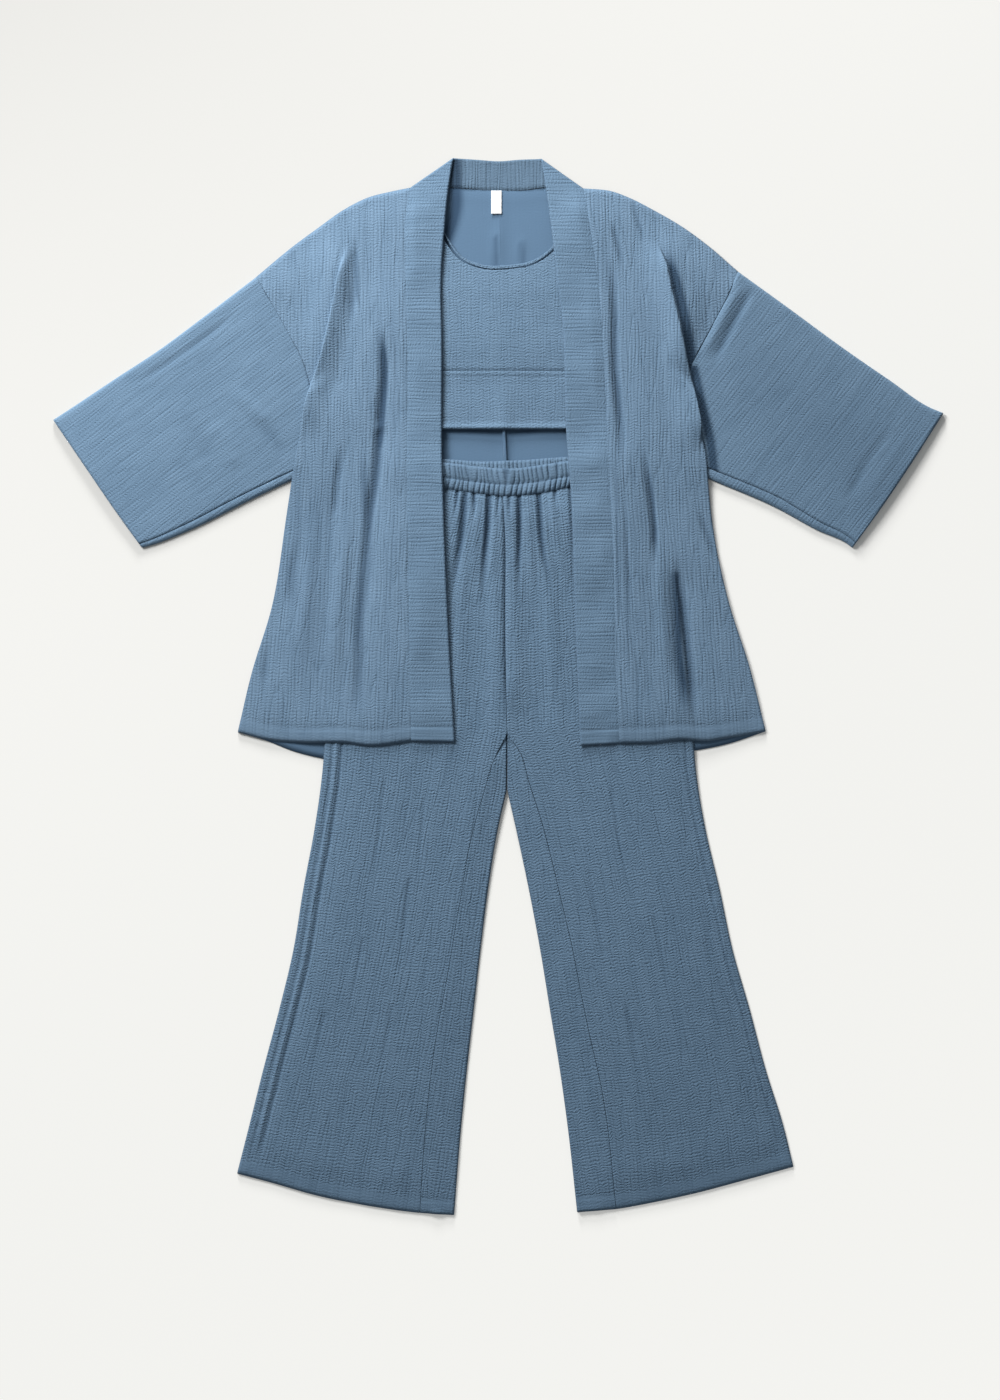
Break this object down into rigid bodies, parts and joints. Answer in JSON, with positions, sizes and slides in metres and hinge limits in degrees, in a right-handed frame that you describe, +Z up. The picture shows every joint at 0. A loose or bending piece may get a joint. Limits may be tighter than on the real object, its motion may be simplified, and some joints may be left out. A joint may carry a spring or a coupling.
{
  "type": "kimono pyjama set",
  "caption": "Open kimono robe, crop top and wide-leg elastic-waist trousers in crinkled gauze, laid flat on one another.",
  "frame": {"origin": "centre of the bounding box, on the floor that the set lies on", "axes": "+X to the right and +Y up the body to the neck as seen from above, +Z up from the floor"},
  "size_m": [1.183, 1.405, 0.0182],
  "materials": {
    "gauze": "matt crinkled double gauze",
    "gauze_inside": "matt smooth inner face of double gauze",
    "label": "matt woven label"
  },
  "bodies": {
    "root": {"kimono_back_left": "gauze_inside", "kimono_back_right": "gauze_inside", "kimono_centre_back_seam": "gauze_inside", "neck_label": "label", "band_neck": "gauze_inside", "sleeve_left": "gauze", "sleeve_right": "gauze", "top_back": "gauze", "top_band_back": "gauze", "top_front": "gauze", "top_band_front": "gauze", "top_binding": "gauze", "trouser_back_left": "gauze", "trouser_back_right": "gauze", "trouser_front_left": "gauze", "trouser_front_right": "gauze", "trouser_turn_left": "gauze", "trouser_turn_right": "gauze", "waistband_back": "gauze", "waistband_front": "gauze", "kimono_front_left": "gauze", "kimono_front_right": "gauze", "band_left": "gauze", "band_right": "gauze"}
  },
  "joints": []
}
